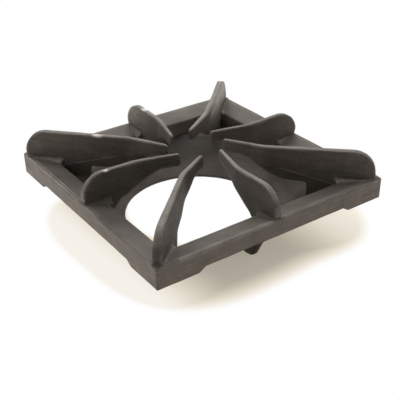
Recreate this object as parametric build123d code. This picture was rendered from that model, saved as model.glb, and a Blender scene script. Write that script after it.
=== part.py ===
from build123d import *
import os
from math import copysign, cos, hypot, radians, sin, sqrt, tan

# Frame: a square of four bars whose top and bottom faces fall towards the middle
frame_side = 305.0
bar_width = 28.0
bar_height = 20.0
bar_top_fall = 6.0
bar_under_fall = 4.0
bar_land = 3.0
bar_clearance = 48.8
corner_round = 3.0
inner_round = 8.0
edge_round = 1.2

# Feet: a shallow pad under each corner, with ramped ends
foot_length = 50.0
foot_ramp = 8.0
foot_depth = 5.0

# Bowl: a cone that hangs under the bars, open at the bottom, with a level floor in each corner
bowl_rim_radius = 138.0
bowl_rim_drop = 5.0
bowl_neck_radius = 140.0
bowl_hole_radius = 88.0
bowl_lip_height = 5.6
bowl_lip_land = 2.0
bowl_wall = 4.5
corner_floor = 4.5
corner_wall = 5.0

# Legs: a rib below the middle of each bar, down the outside of the bowl
leg_thickness = 6.5
leg_top_radius = 147.0
leg_knee_radius = 126.5
leg_knee_height = 29.0
leg_toe_radius = 113.5
leg_toe_height = 3.3
leg_toe_round = 7.0
leg_foot_radius = 98.0
leg_foot_length = 4.0

# Fins: eight upright blades, each turned aside at its inner end
fin_rise = 32.0
fin_thickness = 5.8
fin_draft = 1.8
fin_tip_radius = 31.0
fin_tip_fall = 2.0
fin_tip_depth = 15.0
fin_tip_round = 3.0
fin_bend_radius = 80.0
fin_bend_curve = 60.0
fin_swirl = 14.5
fin_shoulder = 26.0
fin_knee_radius = 57.0
fin_knee_depth = 16.0
fin_knee_round = 20.0
fin_heel_radius = 105.0
fin_heel_depth = 40.0
fin_heel_round = 12.0
side_fin_setback = 2.0
side_fin_depth = 67.0
corner_fin_setback = 7.0
corner_web_depth = 41.0
corner_web_radius = 131.0
corner_web_round = 5.0
root_round = 6.0
root_rise = 0.5

# Parting seam of the mould: a line on each fin that climbs towards the tip
seam_radius = 155.5
seam_height = 12.2
seam_slope = 0.25

# Places that follow from the sizes above
half_side = frame_side / 2
half_diagonal = half_side * sqrt(2)
opening = frame_side - 2 * bar_width
inner_edge = opening / 2
inner_corner = inner_edge * sqrt(2) - inner_round * (sqrt(2) - 1)
bar_under = bar_clearance
bar_under_inside = bar_under - bar_under_fall
bar_top = bar_under + bar_height
bar_top_inside = bar_top - bar_top_fall
rim_top = bar_under - bowl_rim_drop
floor_under = rim_top - corner_floor
floor_middle = rim_top - corner_floor / 2
cone_foot = bowl_lip_height + bowl_lip_land
cone_slope = (rim_top - cone_foot) / (bowl_rim_radius - bowl_hole_radius)
cone_level_wall = bowl_wall * hypot(1, cone_slope) / cone_slope
fin_top = bar_top + fin_rise
fin_low = fin_top - side_fin_depth
draft_rate = tan(radians(fin_draft))


def outline(points):
    return make_face(Polyline(*points, close=True))


def rounded(face, corners):
    # rounds each given corner (x, y, radius) of a flat outline
    for x, y, radius in corners:
        face = fillet(face.vertices().sort_by_distance((x, y, 0))[0], radius)
    return face


def upright(face):
    # stands an outline of radius and height up in the plane of a fin
    return Plane.XZ * face


def square(side, height, radius):
    return Pos(0, 0, height) * RectangleRounded(side, side, radius)


def foot():
    # the pad at the left end of the near bar
    pad_end = foot_length - half_side
    side = outline([
        (-half_side, bar_under - foot_depth),
        (pad_end, bar_under - foot_depth),
        (pad_end + foot_ramp, bar_under),
        (pad_end + foot_ramp, bar_top_inside),
        (-half_side, bar_top_inside),
    ])
    return Pos(0, -inner_edge, 0) * extrude(upright(side), amount=bar_width)


def frame():
    # slab with sloping top and underside, pads below the corners, open in the middle
    outside = square(frame_side, bar_under, corner_round)
    bars = extrude(outside, amount=bar_height)
    bars += loft([outside, square(opening, bar_under_inside, inner_round)], ruled=True)
    pads = Part()
    for quarter in range(4):
        pads += Rot(0, 0, 90 * quarter) * (foot() + mirror(foot(), Plane.YZ))
    bars += pads & extrude(square(frame_side, 0, corner_round), amount=bar_top)
    land_side = frame_side - 2 * bar_land
    bars -= loft([square(land_side, bar_top, corner_round), square(opening, bar_top_inside, inner_round)], ruled=True)
    bars -= extrude(square(opening, 0, inner_round), amount=bar_top)
    outer_top = bars.faces().sort_by(Axis.Z)[-1].outer_wire().edges()
    return fillet(outer_top, edge_round)


def bowl_radius(height):
    # inside radius of the cone
    return bowl_hole_radius + (height - cone_foot) / cone_slope


def bowl_height(radius):
    # height of the cone's inside
    return cone_foot + (radius - bowl_hole_radius) * cone_slope


def bowl():
    # solid under the bars, and hollow within the opening down to the cone and the corner floors
    outside = outline([
        (0, bowl_lip_height),
        (bowl_radius(bowl_lip_height) + cone_level_wall, bowl_lip_height),
        (bowl_neck_radius, bowl_height(bowl_neck_radius - cone_level_wall)),
        (bowl_neck_radius, bar_under),
        (0, bar_under),
    ])
    inside = outline([
        (0, 0),
        (bowl_hole_radius, 0),
        (bowl_hole_radius, cone_foot),
        (bowl_rim_radius, rim_top),
        (half_diagonal, rim_top),
        (half_diagonal, bar_top),
        (0, bar_top),
    ])
    tray = square(opening + 2 * corner_wall, floor_under, inner_round + corner_wall)
    body = revolve(upright(outside), Axis.Z) + extrude(tray, amount=bar_under - floor_under)
    hollow = revolve(upright(inside), Axis.Z)
    return body - (hollow & extrude(square(opening, 0, inner_round), amount=bar_top))


def leg():
    # side view of a rib that stands on its inner end
    rib = outline([
        (leg_foot_radius, 0),
        (leg_foot_radius + leg_foot_length, 0),
        (leg_toe_radius, leg_toe_height),
        (leg_knee_radius, leg_knee_height),
        (leg_top_radius, bar_under),
        (bowl_rim_radius, bar_under),
        (bowl_rim_radius, bowl_height(bowl_rim_radius - cone_level_wall / 2)),
        (bowl_hole_radius + cone_level_wall / 2, cone_foot),
    ])
    rib = rounded(rib, [(leg_toe_radius, leg_toe_height, leg_toe_round)])
    return extrude(upright(rib), amount=leg_thickness / 2, both=True)


def half_above(height):
    # half the fin's thickness above the seam
    return fin_thickness / 2 + (fin_top - height) * draft_rate


def half_below(radius, height):
    # half the fin's thickness below the seam
    seam = bar_under + seam_height + (seam_radius - radius) * seam_slope
    return half_above(seam) - (seam - height) * draft_rate


def blade_plan(half_outer, half_bend, half_inner):
    # the fin seen from above: straight from the bar, then turned aside
    turn = radians(fin_swirl)
    middle = fin_bend_radius * tan(turn)
    left = (fin_bend_radius - half_bend * tan(turn / 2), -half_bend)
    right = (fin_bend_radius + half_bend * tan(turn / 2), half_bend)
    plan = outline([
        (half_diagonal, half_outer),
        right,
        (half_inner * sin(turn), middle + half_inner * cos(turn)),
        (-half_inner * sin(turn), middle - half_inner * cos(turn)),
        left,
        (half_diagonal, -half_outer),
    ])
    return rounded(plan, [(*left, fin_bend_curve - half_bend), (*right, fin_bend_curve + half_bend)])


def drafted(plan, level, rise):
    # an upright prism whose sides spread away from the level of its outline
    prism = extrude(Pos(0, 0, level) * plan, amount=rise)
    walls = prism.faces() - prism.faces().filter_by(Plane.XY)
    return draft(walls, Plane.XY.offset(level), copysign(fin_draft, -rise))


def blade():
    # two halves of the mould, with opposite draft, which meet at the seam
    half_top = half_above(fin_top)
    half_low = [half_below(radius, fin_low) for radius in (half_diagonal, fin_bend_radius, 0)]
    upper = drafted(blade_plan(half_top, half_top, half_top), fin_top, fin_low - fin_top)
    lower = drafted(blade_plan(*half_low), fin_low, fin_top - fin_low)
    return upper & lower


def fin(outer, lower_edge, lower_corners):
    # the side view, from the bar over the shoulder to the tip and back below
    tip_top = fin_top - fin_tip_fall
    tip_low = tip_top - fin_tip_depth
    knee = (fin_knee_radius, fin_top - fin_knee_depth)
    heel = (fin_heel_radius, fin_top - fin_heel_depth)
    side = outline([
        (outer, bar_top_inside),
        (outer, fin_top),
        (fin_tip_radius, tip_top),
        (fin_tip_radius, tip_low),
        knee,
        heel,
        *lower_edge,
    ])
    side = rounded(side, [
        (outer, fin_top, fin_shoulder),
        (fin_tip_radius, tip_top, fin_tip_round),
        (fin_tip_radius, tip_low, fin_tip_round),
        (*knee, fin_knee_round),
        *lower_corners,
    ])
    return blade() & extrude(upright(side), amount=bar_width, both=True)


def root(outer, inner, low):
    # the flare that joins a fin to the top and to the inside of its bar
    half = half_above(bar_top)
    wide = half + root_round
    crest = bar_top + root_rise
    across = outline([
        (-wide, low),
        (wide, low),
        (wide, crest),
        (-wide, crest),
    ])
    plan = outline([
        (inner - root_round, -wide),
        (outer, -wide),
        (outer, wide),
        (inner - root_round, wide),
    ])
    for edge in (-wide, wide):
        across -= Pos(edge, crest) * Circle(root_round)
        plan -= Pos(inner - root_round, edge) * Circle(root_round)
    beam = Pos(inner - root_round, 0, 0) * extrude(Plane.YZ * across, amount=outer - inner + root_round)
    return beam & extrude(plan, amount=fin_top)


def roots():
    # all the flares, kept off the flat land round the frame, those in the corners down to the floor
    flares = Part()
    for quarter in range(4):
        flares += Rot(0, 0, 90 * quarter) * root(half_side, inner_edge, bar_under)
        flares += Rot(0, 0, 90 * quarter + 45) * root(half_diagonal, inner_corner - root_round, floor_middle)
    room = extrude(square(frame_side - 2 * bar_land, bar_under, corner_round), amount=fin_top)
    room += extrude(square(opening + corner_wall, 0, inner_round + corner_wall / 2), amount=bar_top)
    return flares & room


def side_fin():
    outer = half_side - side_fin_setback
    foot_radius = bowl_radius(fin_low) + cone_level_wall / 2
    return fin(outer, [
        (foot_radius, fin_low),
        (foot_radius, bar_top_inside),
    ], [(fin_heel_radius, fin_top - fin_heel_depth, fin_heel_round)])


def corner_fin():
    outer = half_diagonal - corner_fin_setback
    shelf = fin_top - corner_web_depth
    web_end = inner_corner + corner_wall / 2
    return fin(outer, [
        (corner_web_radius, shelf),
        (corner_web_radius, bowl_height(corner_web_radius) - bowl_wall / 2),
        (bowl_rim_radius, floor_middle),
        (web_end, floor_middle),
        (web_end, bar_top_inside),
    ], [(corner_web_radius, shelf, corner_web_round)])


casting = frame() + bowl() + roots()
for quarter in range(4):
    casting += Rot(0, 0, 90 * quarter) * (leg() + side_fin())
    casting += Rot(0, 0, 90 * quarter + 45) * corner_fin()

casting.label = "pan_support"
os.makedirs("parts", exist_ok=True)
export_step(casting, "parts/pan_support.step")
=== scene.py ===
import math

import bpy
import numpy as np
from mathutils import Matrix, Vector, noise


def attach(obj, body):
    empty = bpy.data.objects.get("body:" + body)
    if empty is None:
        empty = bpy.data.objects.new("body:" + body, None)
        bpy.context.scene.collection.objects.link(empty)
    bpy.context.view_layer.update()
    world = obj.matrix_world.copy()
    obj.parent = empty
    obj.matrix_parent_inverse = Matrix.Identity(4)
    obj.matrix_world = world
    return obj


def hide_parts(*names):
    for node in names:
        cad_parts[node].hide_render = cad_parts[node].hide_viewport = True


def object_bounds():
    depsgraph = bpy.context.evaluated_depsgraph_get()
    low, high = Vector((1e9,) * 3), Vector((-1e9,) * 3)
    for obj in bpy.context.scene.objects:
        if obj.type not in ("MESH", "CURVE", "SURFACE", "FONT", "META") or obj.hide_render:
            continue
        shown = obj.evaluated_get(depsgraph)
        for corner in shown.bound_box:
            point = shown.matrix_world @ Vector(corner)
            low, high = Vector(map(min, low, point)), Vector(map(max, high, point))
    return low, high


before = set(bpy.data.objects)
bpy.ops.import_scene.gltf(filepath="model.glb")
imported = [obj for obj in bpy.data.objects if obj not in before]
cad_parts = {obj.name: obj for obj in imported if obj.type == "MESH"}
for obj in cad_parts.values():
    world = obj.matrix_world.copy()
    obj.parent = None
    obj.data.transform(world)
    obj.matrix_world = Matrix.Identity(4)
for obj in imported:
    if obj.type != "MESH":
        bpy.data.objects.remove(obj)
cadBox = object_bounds()
print("frame loaded:", sorted(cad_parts))


# camera, solved on the frame's corners

viewCamera = {
    "lens": 68.752,  # mm on a 36 mm sensor
    "sensor": 36.0,
    "azimuth": -34.732,
    "elevation": 30.236,
    "roll": -0.896,
    "place": (-0.45565, -0.66438, 0.49035),
    "clip": (0.01, 50),
}


def makeCamera(settings):
    a = math.radians(settings["azimuth"])
    e = math.radians(settings["elevation"])
    back = Vector((math.sin(a) * math.cos(e), -math.cos(a) * math.cos(e), math.sin(e)))
    right = Vector((0, 0, 1)).cross(back).normalized()
    up = back.cross(right)
    turn = Matrix.Rotation(math.radians(settings["roll"]), 3, back)
    lensData = bpy.data.cameras.new("viewCamera")
    lensData.lens = settings["lens"]
    lensData.sensor_width = settings["sensor"]
    lensData.clip_start, lensData.clip_end = settings["clip"]
    eye = bpy.data.objects.new("viewCamera", lensData)
    bpy.context.scene.collection.objects.link(eye)
    axes = Matrix((turn @ right, turn @ up, back)).transposed()
    eye.matrix_world = Matrix.Translation(settings["place"]) @ axes.to_4x4()
    bpy.context.scene.camera = eye


makeCamera(viewCamera)
print("camera set")


# casting: the CAD solid skinned with an even mesh, so that its edges are soft as cast

castingLook = {
    "node": "pan_support",
    "slot": "casting",
    "cell": 0.00199,
    "cellDepth": 8,
    "smoothTurns": 1,
    "smoothShare": 0.35,
    "waveDepth": 0.00022,  # low waves of a sand mould
    "waveLength": 0.018,
    "skinGain": 0.00025,
    "footHeight": 0.001,  # below it the skin isn't moved, so the feet stay on the floor
    "cornerGain": 0.0010,  # the frame's corners are crisper than their first rounding
}

# lines of the casting that its fins, its wear and its seam follow
castingForm = {
    "halfSide": cadBox[1].x,
    "cornerRound": 0.003,
    "finTop": cadBox[1].z,
    "innerEdge": 0.1245,
    "barUnder": 0.0488,
    "barTop": 0.0688,
    "barFall": 0.006,
    "rimRadius": 0.138,
    "rimTop": 0.0438,
    "finCount": 8,
    "finHalf": 0.0052,
    "bendRadius": 0.080,
    "swirl": 14.5,
    "tipRadius": 0.031,
    "sideEnd": 0.1505,
    "cornerEnd": 0.2087,
    "seamRadius": 0.1555,
    "seamHeight": 0.0122,
    "seamSlope": 0.25,
    "margin": 0.001,  # slack for a point of the skin that belongs to a face
}

# fit of the fins, which have one thickness in the solid; lists go round the frame from +x
finFit = {
    "tipShare": 0.44,  # thickness at the tips and the outer ends, of that in the solid
    "sideShare": 1.0,
    "cornerShare": 1.33,
    "taperCurve": 0.6,
    "cornerLean": 0.0009,
    "tipRoom": 0.003,
    "beside": (0.0055, 0.011),  # the fit fades out beside a fin
    "overBar": 0.003,
    "insideBar": 0.004,
    "bow": (0.0, 0.0018, 0.0, 0.0, 0.0, 0.0, 0.0, 0.0),
    "bowLength": 0.110,
    "endGain": (0.0022, 0.0004, 0.0020, 0.0012, 0.0, 0.0, 0.0, -0.0006),  # outer ends, outwards
    "endReach": (0.040, 0.004),  # from the outer end
    "endRise": 0.008,
    "topGain": (0.0003, 0.0012, 0.0005, 0.0002, 0.0, 0.0, 0.0, 0.0005),
    "topReach": (0.002, 0.006),  # above the bar and below the fin's top
    "lowerGain": (0.08, 0.08, 0.08, 0.08, 0.08, 0.17, 0.08, 0.08),  # how much the lower edge hangs
    "lowerFrom": (0.057, 0.057, 0.057, 0.057, 0.057, 0.043, 0.078, 0.057),
    "lowerLength": 0.052,
    "lowerRoom": 0.004,
}


def ramp(values, low, high):
    t = np.clip((values - low) / (high - low), 0, 1)
    return t * t * (3 - 2 * t)


def hump(values, start, length):
    return np.sin(math.pi * np.clip((values - start) / length, 0, 1)) ** 2


def perFin(values, fin):
    return np.array(values)[fin]


def turnTo(place, angle):
    # distance along and across a line from the middle
    u = place[:, 0] * math.cos(angle) + place[:, 1] * math.sin(angle)
    v = place[:, 1] * math.cos(angle) - place[:, 0] * math.sin(angle)
    return u, v


def skinCasting(settings):
    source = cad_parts[settings["node"]]
    piece = bpy.data.objects.new("casting", source.data.copy())
    bpy.context.scene.collection.objects.link(piece)
    skin = piece.modifiers.new("skin", "REMESH")
    skin.mode = "SHARP"
    skin.octree_depth = settings["cellDepth"]
    skin.scale = max(source.dimensions) / (settings["cell"] * 2 ** settings["cellDepth"])
    skin.use_remove_disconnected = False
    soften = piece.modifiers.new("soften", "SMOOTH")
    soften.factor = settings["smoothShare"]
    soften.iterations = settings["smoothTurns"]
    shapes = bpy.context.evaluated_depsgraph_get()
    mesh = bpy.data.meshes.new_from_object(piece.evaluated_get(shapes))
    piece.modifiers.clear()
    piece.data = mesh
    mesh.materials.clear()
    mesh.polygons.foreach_set("use_smooth", [True] * len(mesh.polygons))
    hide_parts(settings["node"])
    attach(piece, "root")
    return piece


def readPoints(mesh):
    place = np.empty(len(mesh.vertices) * 3)
    normal = np.empty(len(mesh.vertices) * 3)
    mesh.vertices.foreach_get("co", place)
    mesh.vertices.foreach_get("normal", normal)
    return place.reshape(-1, 3), normal.reshape(-1, 3)


def readBend(mesh, place, normal, cell):
    # how far each point stands out from its neighbours, in cells: above 0 on edges, below 0 in corners
    ends = np.empty(len(mesh.edges) * 2, dtype=np.int32)
    mesh.edges.foreach_get("vertices", ends)
    a, b = ends.reshape(-1, 2).T
    count = np.bincount(a, minlength=len(place)) + np.bincount(b, minlength=len(place))

    def around(values):
        return (np.bincount(a, values[b], len(place)) + np.bincount(b, values[a], len(place))) / count

    middle = np.stack([around(place[:, i]) for i in range(3)], axis=1)
    bend = ((place - middle) * normal).sum(axis=1) / cell
    return (bend + around(bend)) / 2


def readFins(place, form, fit):
    # the nearest fin, and the distance along and across its bent middle line
    fin = np.zeros(len(place), dtype=int)
    along = np.zeros(len(place))
    across = np.full(len(place), 1.0)
    for i in range(form["finCount"]):
        u, v = turnTo(place, 2 * math.pi * i / form["finCount"])
        v = v - np.maximum(form["bendRadius"] - u, 0) * math.tan(math.radians(form["swirl"]))
        nearer = (u > form["tipRadius"] - fit["tipRoom"]) & (np.abs(v) < np.abs(across))
        fin[nearer] = i
        along[nearer] = u[nearer]
        across[nearer] = v[nearer]
    return fin, along, across


def fitFins(fit, form, fin, along, across, height, reach):
    # thins each fin towards its tip, thickens it at a corner, and moves outer ends and lower edges
    corner = fin % 2 == 1
    end = np.where(corner, form["cornerEnd"], form["sideEnd"])
    far = np.clip((along - form["tipRadius"]) / (end - form["tipRadius"]), 0, 1) ** fit["taperCurve"]
    share = fit["tipShare"] + far * (np.where(corner, fit["cornerShare"], fit["sideShare"]) - fit["tipShare"])
    over = ramp(height, form["barTop"] - fit["overBar"], form["barTop"])
    inside = 1 - ramp(reach, form["innerEdge"] - fit["insideBar"], form["innerEdge"])
    near = (1 - ramp(np.abs(across), *fit["beside"])) * np.maximum(over, inside)

    bow = perFin(fit["bow"], fin) * hump(along, form["tipRadius"], fit["bowLength"])
    shift = ((share - 1) * across - corner * far * fit["cornerLean"] + bow) * near

    out = perFin(fit["endGain"], fin) * near * ramp(along, end - fit["endReach"][0], end - fit["endReach"][1])
    out *= ramp(height, form["barTop"], form["barTop"] + fit["endRise"])

    above = ramp(height, form["barTop"] + fit["topReach"][0], form["finTop"] - fit["topReach"][1])
    rise = perFin(fit["topGain"], fin) * near * above
    lower = hump(along, perFin(fit["lowerFrom"], fin), fit["lowerLength"]) * near
    lower *= height > form["barUnder"] + fit["lowerRoom"]
    rise -= (form["finTop"] - height) * perFin(fit["lowerGain"], fin) * lower

    angle = 2 * math.pi * fin / form["finCount"]
    a, b = np.cos(angle), np.sin(angle)
    return np.stack([a * out - b * shift, b * out + a * shift, rise], axis=1)


def squareCorners(look, form, place):
    # shift of the frame's upright corner edges along the diagonal
    past = np.maximum(np.abs(place[:, :2]) - (form["halfSide"] - form["cornerRound"]), 0)
    turn = np.arctan2(past[:, 1], past[:, 0])
    share = np.sin(2 * turn) ** 2 * np.minimum(np.hypot(*past.T) / form["cornerRound"], 1)
    return np.sign(place) * (1, 1, 0) * (look["cornerGain"] / math.sqrt(2) * share)[:, None]


def addMask(mesh, name, values):
    mask = mesh.attributes.new(name, "FLOAT", "POINT")
    mask.data.foreach_set("value", values.astype(np.float32))


casting = skinCasting(castingLook)
print("casting skinned:", len(casting.data.polygons), "faces")


# finish of the casting: where it is worn, sooty, dusty or seamed, and where light and shade are painted into
# its colour

finishLook = {
    "topWearAndHighlight": (0.25, 0.85, 1.2, 0.40, 0.17, 0.76, 0.74, 0.27),  # fins' tops paler, partly rubbed by pans and partly painted highlight, from +x round
    # pale line along each fin's parting seam: a painted highlight of its ridge
    "seam": (0.0, 0.2, 0.0, 0.8, 0.0, 0.3, 0.0, 1.0),
    # flareDustAndLight: paler fin roots per fin, dust and painted light
    "flareDustAndLight": (1.2, 0.6, 0.6, 1.6, 0.0, 0.8, 0.0, 2.0),
    # paintedFlareLight: painted light on fin roots; paintedEndGlare: painted glare on some fins' upper outer
    # ends
    "paintedFlareLight": (0.08, 0.0, 0.0, 0.16, 0.0, 0.04, 0.0, 0.30),
    "paintedEndGlare": (0.0, 0.75, 0.12, 0.0, 0.0, 0.0, 0.0, 0.0),
    # flankDustAndLight and endDustAndLight: paler flanks and outer ends per fin, dust and painted light
    "flankDustAndLight": (0.14, 0.0, 0.0, 0.04, 0.0, 0.0, 0.02, 0.06),
    "endDustAndLight": (0.25, 0.7, 0.65, 0.32, 0.0, 0.0, 0.0, 0.10),
    # flankSootAndShade: darker flanks per fin, soot and painted shade
    "flankSootAndShade": (0.0, 0.5, 0.2, 0.1, 0.1, 0.4, 0.1, 0.0),
    # ridges paler: partly rubbed, partly painted highlight
    "edgeWearAndHighlight": 0.35,
    "backLines": 0.5,  # the bars' painted highlight lines are fainter towards the back
    "nearEdgeGlint": 0.8,  # the near half of the bar at -y: brighter and wider painted edge highlight, outer painted highlight line further out
    "nearWide": 0.6,
    "nearLandGlint": 0.0014,
    # outer faces and inner walls of the frame paler: dust and painted light
    "outsideDustAndLight": 1.0,
    "wallDustAndLight": 1.0,
    # bowl darker: soot and painted shade; below the corner fins' seam: painted shade
    "bowlSootAndShade": 0.4,
    "underSeamShade": 0.5,
    # cornerShade and legShade: painted shade in hollows and on the legs under the bars
    "cornerShade": 0.3,
    "legShade": 0.45,
    "chips": (  # fin's place round the frame in degrees, distance from the middle, length
        (135, 0.1188, 0.012),
        (90, 0.1145, 0.009),
        (180, 0.120, 0.005),
    ),
    "chipDepth": 0.0005,
    # darkPatches: darker patches on the front bars' tops, and painted shade on the bowl
    "darkPatches": (  # x, y, height, radius, share
        (-0.138, -0.045, 0.066, 0.028, 0.85),
        (-0.138, 0.055, 0.066, 0.040, 0.85),
        (0.085, -0.138, 0.066, 0.036, 0.65),
        (0.056, 0.117, 0.035, 0.022, 3.0),
        (0.082, 0.103, 0.036, 0.022, 3.0),
        (0.092, -0.085, 0.035, 0.018, 1.0),
        (0.120, -0.062, 0.040, 0.016, 1.0),
    ),
}

# where each area fades in or out: distances, or the upward part of the normal where named level
areaBands = {
    "uprightLevel": (0.35, 0.75),
    "finSide": (0.0, 0.002),  # past a fin's half thickness
    "finRoot": (0.0, 0.004),  # above the bars
    "finTop": (0.004, 0.012),
    "topLevel": (0.2, 0.7),
    "outside": (-0.0035, -0.0025),  # past the frame's side
    "wall": (-0.0015, -0.0005),  # past the frame's inner edge
    "bowlLevel": (0.2, 0.6),
    "hollow": (0.02, 0.12),  # cells
    "ridge": (0.06, 0.22),
    "ridgeLevel": (-0.1, 0.3),
    "seamStart": (0.088, 0.110),
    "seamStop": (0.160, 0.172),
    "barFace": (-0.008, -0.006),  # above the bars
    "leftBar": (-0.010, 0.060),
    "backHalf": (-0.040, 0.020),
    "nearHalf": (-0.010, 0.040),
    "legTop": (-0.008, -0.004),  # above the bars' underside
    "legSide": (-0.030, -0.025),  # past the bowl's rim
    "flareStart": (0.003, 0.005),
    "flareStop": (0.009, 0.013),
    "flareReach": (0.112, 0.118),
    "flareLevel": (0.1, 0.3),
    "flareFlat": (0.95, 0.99),
    "flareHeight": (0.058, 0.061),
    "underSeam": (0.0, 0.001),
    "paleAlong": (0.085, 0.125),
    "paleHeight": (0.072, 0.094),
    "endAlong": (0.095, 0.140),
    "endHeight": (0.060, 0.080),
    "patchLevel": (0.1, 0.4),
    "landLevel": (0.4, 0.8),
}


def band(name, values):
    return ramp(values, *areaBands[name])


def finishCasting(piece, look, form, fit, settings):
    mesh = piece.data
    place, normal = readPoints(mesh)
    fin, along, across = readFins(place, form, fit)
    beside = np.abs(across)
    bend = readBend(mesh, place, normal, look["cell"])
    x, y, height = place.T
    reach = np.abs(place[:, :2]).max(axis=1)
    radius = np.hypot(x, y)
    level = normal[:, 2]
    upright = 1 - band("uprightLevel", np.abs(level))
    inside = reach < form["innerEdge"] - form["margin"]
    overBar = height - form["barTop"]

    # areas of the casting
    inFin = (1 - band("finSide", beside - form["finHalf"])) * ramp(height, form["rimTop"], form["barUnder"])
    inFin *= np.maximum(band("finRoot", overBar), inside)
    finTop = inFin * band("finTop", overBar) * band("topLevel", level)
    flank = inFin * upright
    outside = band("outside", reach - form["halfSide"]) * upright
    walls = band("wall", reach - form["innerEdge"]) * (reach < form["innerEdge"] - areaBands["wall"][0])
    walls *= upright * (height < form["barTop"] - form["barFall"])
    bowl = (radius < form["rimRadius"]) * (height < form["rimTop"] + form["margin"])
    bowl = bowl * band("bowlLevel", level)
    legs = (1 - band("legTop", height - form["barUnder"])) * band("legSide", radius - form["rimRadius"])
    flare = band("flareStart", beside) * (1 - band("flareStop", beside)) * band("flareReach", reach)
    flare *= band("flareLevel", level) * (1 - band("flareFlat", level)) * band("flareHeight", height)

    # lines on it: the seam, with its painted highlight and painted shade below it, and the bars' painted
    # highlight lines
    seamHeight = form["barUnder"] + form["seamHeight"] + (form["seamRadius"] - along) * form["seamSlope"]
    seamShow = flank * band("seamStart", along) * (1 - band("seamStop", along))
    underSeam = flank * band("underSeam", seamHeight - height) * (fin % 2) * inside
    # where the bars' painted highlight lines show
    onBar = band("barFace", overBar) * (beside > form["finHalf"] + areaBands["finSide"][1])
    onBar *= 1 - band("leftBar", -y) * (x < -form["innerEdge"])
    onBar *= 1 - settings["backLines"] * band("backHalf", x)
    nearHalf = (y < -form["innerEdge"]) * (1 - band("nearHalf", x))
    edgeGlintGap = np.maximum(form["halfSide"] - reach, -overBar * (1 - settings["nearWide"] * nearHalf))

    chips = np.zeros(len(place))
    for angle, middle, length in settings["chips"]:
        u, v = turnTo(place, math.radians(angle))
        spot = np.exp(-((u - middle) / (length / 2)) ** 4) * (np.abs(v) < form["finHalf"])
        chips = np.maximum(chips, spot * finTop)
    # darker patches on the front bars' tops, and painted shade on the bowl
    darkPatch = np.zeros(len(place))
    for *spot, wide, share in settings["darkPatches"]:
        spot = share * np.exp(-((place - spot) ** 2).sum(axis=1) / wide ** 2)
        darkPatch = np.maximum(darkPatch, spot * band("patchLevel", level) * (overBar < form["margin"]))

    # layers of the finish, painted light and shade among them
    # painted light on fin roots and on some fins' upper outer ends, laid with the chips
    paintedLight = perFin(settings["paintedEndGlare"], fin) * flank * band("paleAlong", along) * band("paleHeight", height)
    paintedLight = np.maximum(paintedLight, perFin(settings["paintedFlareLight"], fin) * flare)
    # wear and painted highlight on the fins' tops and ridges
    wearAndHighlight = perFin(settings["topWearAndHighlight"], fin) * finTop
    wearAndHighlight += settings["edgeWearAndHighlight"] * band("ridge", bend) * band("ridgeLevel", level)
    # dust and painted light: paler outer faces, inner walls, fin roots, flanks and outer ends
    dustAndLight = settings["outsideDustAndLight"] * outside + settings["wallDustAndLight"] * walls
    dustAndLight += perFin(settings["flareDustAndLight"], fin) * flare + perFin(settings["flankDustAndLight"], fin) * flank
    dustAndLight += perFin(settings["endDustAndLight"], fin) * flank * band("endAlong", along) * band("endHeight", height)
    # soot and painted shade: darker flanks and bowl, painted shade below the corner fins' seam
    sootAndShade = perFin(settings["flankSootAndShade"], fin) * flank + settings["bowlSootAndShade"] * bowl
    sootAndShade += settings["underSeamShade"] * underSeam
    # painted shade in hollows and on the legs under the bars, with the dark patches
    paintedShadeAndPatches = np.maximum(settings["cornerShade"] * band("hollow", -bend), settings["legShade"] * legs)
    addMask(mesh, "wearAndHighlight", np.clip(wearAndHighlight, 0, 1))
    addMask(mesh, "dustAndLight", np.clip(dustAndLight, 0, 1))
    addMask(mesh, "sootAndShade", np.clip(sootAndShade, 0, 1))
    addMask(mesh, "paintedShadeAndPatches", np.maximum(paintedShadeAndPatches, darkPatch))
    # the chips layer also carries that painted light
    addMask(mesh, "chips", np.maximum(chips, paintedLight))
    # painted highlight along the fins' parting seam
    addMask(mesh, "seamShow", perFin(settings["seam"], fin) * seamShow)
    addMask(mesh, "seamGap", height - seamHeight)
    # painted highlight lines along the bars' top edges
    addMask(mesh, "edgeGlintShow", onBar * (1 + settings["nearEdgeGlint"] * nearHalf))
    addMask(mesh, "edgeGlintGap", edgeGlintGap)
    addMask(mesh, "landGlintShow", onBar * band("landLevel", level))
    addMask(mesh, "landGlintGap", form["halfSide"] - reach + settings["nearLandGlint"] * nearHalf)

    # uneven skin, chipped edges and the fins' fit
    waves = np.array([noise.noise(Vector(p) / look["waveLength"]) for p in place])
    shift = look["skinGain"] + waves * look["waveDepth"] - chips * settings["chipDepth"]
    shift[height < look["footHeight"]] = 0
    moved = fitFins(fit, form, fin, along, across, height, reach) + squareCorners(look, form, place)
    mesh.vertices.foreach_set("co", (place + moved + normal * shift[:, None]).ravel())
    mesh.update()


finishCasting(casting, castingLook, castingForm, finFit, finishLook)
print("casting finished")


# node helpers and shared shader groups

def newTree(tree):
    tree.nodes.clear()

    def add(kind, **settings):
        node = tree.nodes.new(kind)
        for key, value in settings.items():
            setattr(node, key, value)
        return node

    def join(fromSocket, toSocket):
        tree.links.new(fromSocket, toSocket)

    return add, join


def newGroup(name, takes, gives):
    tree = bpy.data.node_groups.new(name, "ShaderNodeTree")
    for label, kind in takes:
        tree.interface.new_socket(label, in_out="INPUT", socket_type=kind)
    for label, kind in gives:
        tree.interface.new_socket(label, in_out="OUTPUT", socket_type=kind)
    add, join = newTree(tree)
    return tree, add, join, add("NodeGroupInput"), add("NodeGroupOutput")


grainLook = {
    "detail": 3,
    "roughness": 0.55,
    "spread": (0.3, 0.7),  # part of the noise that is stretched to the full range
}


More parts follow.
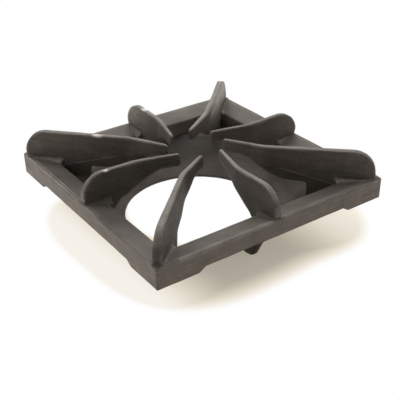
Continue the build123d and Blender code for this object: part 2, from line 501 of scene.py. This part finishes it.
def makeGrainGroup(settings):
    # sand grain: pits and specks of one size, as a value about 0.5
    takes = [("Scale", "NodeSocketFloat"), ("Stretch", "NodeSocketVector"), ("Contrast", "NodeSocketFloat")]
    tree, add, join, source, result = newGroup("castGrain", takes, [("Grain", "NodeSocketFloat")])
    place = add("ShaderNodeTexCoord")
    stretch = add("ShaderNodeVectorMath", operation="MULTIPLY")
    clouds = add("ShaderNodeTexNoise")
    clouds.inputs["Detail"].default_value = settings["detail"]
    clouds.inputs["Roughness"].default_value = settings["roughness"]
    spread = add("ShaderNodeMapRange", clamp=True)
    spread.inputs["From Min"].default_value, spread.inputs["From Max"].default_value = settings["spread"]
    half = add("ShaderNodeMath", operation="MULTIPLY")
    half.inputs[1].default_value = 0.5
    low = add("ShaderNodeMath", operation="SUBTRACT")
    low.inputs[0].default_value = 0.5
    high = add("ShaderNodeMath", operation="ADD")
    high.inputs[0].default_value = 0.5
    join(place.outputs["Object"], stretch.inputs[0])
    join(source.outputs["Stretch"], stretch.inputs[1])
    join(stretch.outputs[0], clouds.inputs["Vector"])
    join(source.outputs["Scale"], clouds.inputs["Scale"])
    join(source.outputs["Contrast"], half.inputs[0])
    join(half.outputs[0], low.inputs[1])
    join(half.outputs[0], high.inputs[1])
    join(clouds.outputs["Fac"], spread.inputs["Value"])
    join(low.outputs[0], spread.inputs["To Min"])
    join(high.outputs[0], spread.inputs["To Max"])
    join(spread.outputs["Result"], result.inputs["Grain"])
    return tree


def makeLayerGroup():
    # lays one colour over another where a mask is high, broken up by grain
    takes = [("Under", "NodeSocketColor"), ("Over", "NodeSocketColor"), ("Mask", "NodeSocketFloat"),
             ("Grain", "NodeSocketFloat"), ("Breakup", "NodeSocketFloat")]
    tree, add, join, source, result = newGroup("wornLayer", takes, [("Color", "NodeSocketColor")])
    centre = add("ShaderNodeMath", operation="SUBTRACT")
    centre.inputs[1].default_value = 0.5
    rough = add("ShaderNodeMath", operation="MULTIPLY")
    full = add("ShaderNodeMath", operation="ADD")
    full.inputs[1].default_value = 1
    share = add("ShaderNodeMath", operation="MULTIPLY", use_clamp=True)
    mix = add("ShaderNodeMix", data_type="RGBA")
    join(source.outputs["Grain"], centre.inputs[0])
    join(centre.outputs[0], rough.inputs[0])
    join(source.outputs["Breakup"], rough.inputs[1])
    join(rough.outputs[0], full.inputs[0])
    join(source.outputs["Mask"], share.inputs[0])
    join(full.outputs[0], share.inputs[1])
    join(share.outputs[0], mix.inputs[0])
    join(source.outputs["Under"], mix.inputs[6])
    join(source.outputs["Over"], mix.inputs[7])
    join(mix.outputs[2], result.inputs["Color"])
    return tree


def makeLineGroup():
    # a thin line at one distance
    takes = [(name, "NodeSocketFloat") for name in ("Gap", "At", "Width", "Show")]
    tree, add, join, source, result = newGroup("fineLine", takes, [("Mask", "NodeSocketFloat")])
    off = add("ShaderNodeMath", operation="SUBTRACT")
    side = add("ShaderNodeMath", operation="ABSOLUTE")
    fade = add("ShaderNodeMapRange", interpolation_type="SMOOTHSTEP")
    fade.inputs["From Min"].default_value = 0
    fade.inputs["To Min"].default_value = 1
    fade.inputs["To Max"].default_value = 0
    shown = add("ShaderNodeMath", operation="MULTIPLY")
    join(source.outputs["Gap"], off.inputs[0])
    join(source.outputs["At"], off.inputs[1])
    join(off.outputs[0], side.inputs[0])
    join(side.outputs[0], fade.inputs["Value"])
    join(source.outputs["Width"], fade.inputs["From Max"])
    join(fade.outputs["Result"], shown.inputs[0])
    join(source.outputs["Show"], shown.inputs[1])
    join(shown.outputs[0], result.inputs["Mask"])
    return tree


grainGroup = makeGrainGroup(grainLook)
layerGroup = makeLayerGroup()
lineGroup = makeLineGroup()
print("shader groups made")


# iron: matt dark skin, darker inside with soot and painted shade, paler outside with dust and painted light,
# paler where it is rubbed and where highlights are painted

ironLook = {
    "skin": (0.093, 0.079, 0.067, 1),
    "mottle": (0.55, 1.45),  # darkest and palest share of the colour
    "grains": {  # scale, stretch, contrast
        "blotch": (45.0, (1, 1, 1), 1.0),
        "fine": (330.0, (1, 1, 1), 1.0),
        "streak": (260.0, (0.12, 0.12, 1), 1.0),
        "pits": (900.0, (1, 1, 1), 1.0),
    },
    "fineShare": 0.5,  # of the mottle
    "streakShare": 0.35,
    "pitShare": 0.3,  # of the bump
    "layers": (  # mask, colour, breakup
        # soot, partly painted shade
        ("sootAndShade", (0.062, 0.053, 0.046, 1), 0.4),
        # dust, partly painted light
        ("dustAndLight", (0.188, 0.163, 0.141, 1), 0.3),
        # painted shade in hollows and under the bars, with the dark patches
        ("paintedShadeAndPatches", (0.030, 0.026, 0.022, 1), 0.5),
        # wear, partly painted highlight on the fins' tops and ridges
        ("wearAndHighlight", (0.190, 0.168, 0.147, 1), 0.6),
        # chips, also carrying the painted light on fin roots and fins' upper outer ends
        ("chips", (0.62, 0.57, 0.50, 1), 0.8),
    ),
    "lines": (  # name, distance, width, colour, breakup
        # painted highlight along the fins' parting seam
        ("seam", 0.0, 0.0014, (0.200, 0.176, 0.155, 1), 0.5),
        # painted highlight on the bars' rounded outer top edge
        ("edgeGlint", 0.0002, 0.0018, (0.270, 0.240, 0.212, 1), 0.6),
        # second painted highlight line just inside the bars' outer top edge
        ("landGlint", 0.0040, 0.0014, (0.185, 0.163, 0.143, 1), 0.8),
    ),
    "specular": 0.32,
    "specularTint": (1.0, 0.92, 0.84, 1),
    "roughness": (0.48, 0.66),
    "bump": 1.0,
    "bumpDepth": 0.0001,
}


def makeIron(settings):
    material = bpy.data.materials.new("castIron")
    material.use_nodes = True
    add, join = newTree(material.node_tree)
    out = add("ShaderNodeOutputMaterial")
    shader = add("ShaderNodeBsdfPrincipled")
    shader.inputs["Specular IOR Level"].default_value = settings["specular"]
    shader.inputs["Specular Tint"].default_value = settings["specularTint"]

    grains = {}
    for name, (scale, stretch, contrast) in settings["grains"].items():
        node = add("ShaderNodeGroup", node_tree=grainGroup)
        node.inputs["Scale"].default_value = scale
        node.inputs["Stretch"].default_value = stretch
        node.inputs["Contrast"].default_value = contrast
        grains[name] = node.outputs["Grain"]

    def blend(a, b, share):
        node = add("ShaderNodeMix", data_type="FLOAT")
        node.inputs[0].default_value = share
        join(a, node.inputs[2])
        join(b, node.inputs[3])
        return node.outputs[0]

    def attribute(name):
        return add("ShaderNodeAttribute", attribute_name=name).outputs["Fac"]

    clouds = blend(grains["blotch"], grains["fine"], settings["fineShare"])
    mottle = blend(clouds, grains["streak"], settings["streakShare"])
    masks = [(attribute(name), tint, breakup) for name, tint, breakup in settings["layers"]]
    for name, distance, width, tint, breakup in settings["lines"]:
        line = add("ShaderNodeGroup", node_tree=lineGroup)
        line.inputs["At"].default_value = distance
        line.inputs["Width"].default_value = width
        join(attribute(name + "Gap"), line.inputs["Gap"])
        join(attribute(name + "Show"), line.inputs["Show"])
        masks.append((line.outputs["Mask"], tint, breakup))
    colour = None
    for mask, tint, breakup in masks:
        layer = add("ShaderNodeGroup", node_tree=layerGroup)
        layer.inputs["Under"].default_value = settings["skin"]
        layer.inputs["Over"].default_value = tint
        layer.inputs["Breakup"].default_value = breakup
        if colour:
            join(colour, layer.inputs["Under"])
        join(mask, layer.inputs["Mask"])
        join(mottle, layer.inputs["Grain"])
        colour = layer.outputs["Color"]
    tone = add("ShaderNodeMapRange")
    tone.inputs["To Min"].default_value, tone.inputs["To Max"].default_value = settings["mottle"]
    join(mottle, tone.inputs["Value"])
    toned = add("ShaderNodeMix", data_type="RGBA", blend_type="MULTIPLY")
    toned.inputs[0].default_value = 1
    join(colour, toned.inputs[6])
    join(tone.outputs["Result"], toned.inputs[7])
    join(toned.outputs[2], shader.inputs["Base Color"])

    sheen = add("ShaderNodeMapRange")
    sheen.inputs["To Min"].default_value, sheen.inputs["To Max"].default_value = settings["roughness"]
    join(grains["fine"], sheen.inputs["Value"])
    join(sheen.outputs["Result"], shader.inputs["Roughness"])

    bump = add("ShaderNodeBump")
    bump.inputs["Strength"].default_value = settings["bump"]
    bump.inputs["Distance"].default_value = settings["bumpDepth"]
    join(blend(grains["fine"], grains["pits"], settings["pitShare"]), bump.inputs["Height"])
    join(bump.outputs["Normal"], shader.inputs["Normal"])
    join(shader.outputs[0], out.inputs[0])
    return material


casting.data.materials.append(makeIron(ironLook))
print("iron made")


# stage: pale floor that keeps the shadow, with the shadow's outline, its warm tint and the white under the
# bowl's hole painted, white surround, soft lamps above, behind and at both sides

stageLook = {
    "floorSize": 8.0,
    "floor": (0.90, 0.86, 0.78, 1),
    "white": (1, 1, 1, 1),
    "paintedShadowTint": (0.94, 0.855, 0.70, 1),
    "shadowLift": 0.37,  # share of that painted tint in the shadow, beyond the floor's own light
    "tintCurve": 4,
    "shadowPlace": (0.0, -0.003, 0.0),
    "shadowTurn": 3.0,  # degrees
    "shadowEdge": (0.130, 0.173),  # from full shadow to white floor
    "shadowRound": 3,  # 2 would be round, more is squarer
    "shadowEnds": (  # where the painted shadow is thinned at its ends: from, to, share, spread
        (-0.051, -0.142, 0.87, 0.0),
        (0.026, 0.126, 0.71, 0.015),
    ),
    "holePlace": (0.012, 0.018, 0.0),  # painted light: the floor is painted white under the bowl's hole
    "holeRadius": (0.100, 0.084),
    "seenBy": ("Is Camera Ray", "Is Glossy Ray", "Is Transmission Ray"),  # rays that see white
    "fill": 0.19,
    "lamps": (  # name, place, size, watts
        ("above", (0.30, 0.43, 1.27), 0.8, 11.0),
        ("behind", (0.75, 1.08, 0.90), 1.2, 6.0),
        ("leftSide", (-1.15, 0.80, 0.75), 1.0, 8.8),
        ("rightSide", (1.15, -0.80, 0.75), 1.0, 3.2),
    ),
}


def joinRays(add, join, names):
    # 1 for any of the named kinds of ray
    path = add("ShaderNodeLightPath")
    total = path.outputs[names[0]]
    for name in names[1:]:
        either = add("ShaderNodeMath", operation="MAXIMUM")
        join(total, either.inputs[0])
        join(path.outputs[name], either.inputs[1])
        total = either.outputs[0]
    return total


def makeFloor(settings):
    half = settings["floorSize"] / 2
    low = cadBox[0].z
    mesh = bpy.data.meshes.new("floor")
    corners = [(-half, -half, low), (half, -half, low), (half, half, low), (-half, half, low)]
    mesh.from_pydata(corners, [], [(0, 1, 2, 3)])
    floor = bpy.data.objects.new("floor", mesh)
    bpy.context.scene.collection.objects.link(floor)
    material = bpy.data.materials.new("paleFloor")
    material.use_nodes = True
    add, join = newTree(material.node_tree)

    def work(operation, *values):
        node = add("ShaderNodeMath", operation=operation)
        for socket, value in zip(node.inputs, values):
            if isinstance(value, (int, float)):
                socket.default_value = value
            else:
                join(value, socket)
        return node.outputs[0]

    def fade(value, edges):
        node = add("ShaderNodeMapRange", interpolation_type="SMOOTHSTEP")
        node.inputs["From Min"].default_value, node.inputs["From Max"].default_value = edges
        join(value, node.inputs["Value"])
        return node.outputs["Result"]

    # painted shadow area: clear is 0 where the floor shows its own shadow under a painted warm tint and 1
    # where it is white
    place = add("ShaderNodeNewGeometry")
    shadow = add("ShaderNodeVectorMath", operation="SUBTRACT")
    shadow.inputs[1].default_value = settings["shadowPlace"]
    join(place.outputs["Position"], shadow.inputs[0])
    turn = add("ShaderNodeVectorRotate", rotation_type="Z_AXIS")
    turn.inputs["Angle"].default_value = -math.radians(settings["shadowTurn"])
    join(shadow.outputs[0], turn.inputs["Vector"])
    axes = add("ShaderNodeSeparateXYZ")
    join(turn.outputs[0], axes.inputs[0])
    turns = settings["shadowRound"]
    sides = [work("POWER", work("ABSOLUTE", axes.outputs[i]), turns) for i in ("X", "Y")]
    reach = work("POWER", work("ADD", *sides), 1 / turns)
    thin = 0
    for near, far, share, spread in settings["shadowEnds"]:
        end = fade(axes.outputs["X"], (near, far))
        reach = work("SUBTRACT", reach, work("MULTIPLY", end, spread))
        thin = work("MAXIMUM", thin, work("MULTIPLY", end, share))
    clear = work("MAXIMUM", fade(reach, settings["shadowEdge"]), thin)
    # painted light: white floor under the bowl's hole
    hole = add("ShaderNodeVectorMath", operation="DISTANCE")
    hole.inputs[1].default_value = settings["holePlace"]
    join(place.outputs["Position"], hole.inputs[0])
    clear = work("MAXIMUM", clear, fade(hole.outputs["Value"], settings["holeRadius"]))

    tint = add("ShaderNodeMix", data_type="RGBA")
    tint.inputs[6].default_value = settings["paintedShadowTint"]
    tint.inputs[7].default_value = settings["white"]
    join(work("POWER", clear, settings["tintCurve"]), tint.inputs[0])
    white = add("ShaderNodeEmission")
    join(tint.outputs[2], white.inputs["Color"])
    matt = add("ShaderNodeBsdfDiffuse")
    matt.inputs["Color"].default_value = settings["floor"]
    lift = work("MULTIPLY_ADD", clear, 1 - settings["shadowLift"], settings["shadowLift"])
    mix = add("ShaderNodeMixShader")
    join(work("MULTIPLY", lift, joinRays(add, join, settings["seenBy"])), mix.inputs[0])
    join(matt.outputs[0], mix.inputs[1])
    join(white.outputs[0], mix.inputs[2])
    out = add("ShaderNodeOutputMaterial")
    join(mix.outputs[0], out.inputs[0])
    mesh.materials.append(material)


def makeSurround(settings):
    world = bpy.data.worlds.new("surround")
    bpy.context.scene.world = world
    world.use_nodes = True
    add, join = newTree(world.node_tree)
    out = add("ShaderNodeOutputWorld")
    seen = add("ShaderNodeBackground")
    seen.inputs["Color"].default_value = settings["white"]
    light = add("ShaderNodeBackground")
    light.inputs["Strength"].default_value = settings["fill"]
    mix = add("ShaderNodeMixShader")
    join(joinRays(add, join, settings["seenBy"]), mix.inputs[0])
    join(light.outputs[0], mix.inputs[1])
    join(seen.outputs[0], mix.inputs[2])
    join(mix.outputs[0], out.inputs[0])


def makeLamps(settings):
    for name, place, size, watts in settings["lamps"]:
        lampData = bpy.data.lights.new(name, "AREA")
        lampData.energy = watts
        lampData.size = size
        lamp = bpy.data.objects.new(name, lampData)
        bpy.context.scene.collection.objects.link(lamp)
        lamp.location = place
        lamp.rotation_euler = Vector(place).to_track_quat("Z", "Y").to_euler()


makeFloor(stageLook)
makeSurround(stageLook)
makeLamps(stageLook)
bpy.context.scene.view_settings.view_transform = "Standard"
print("stage set")
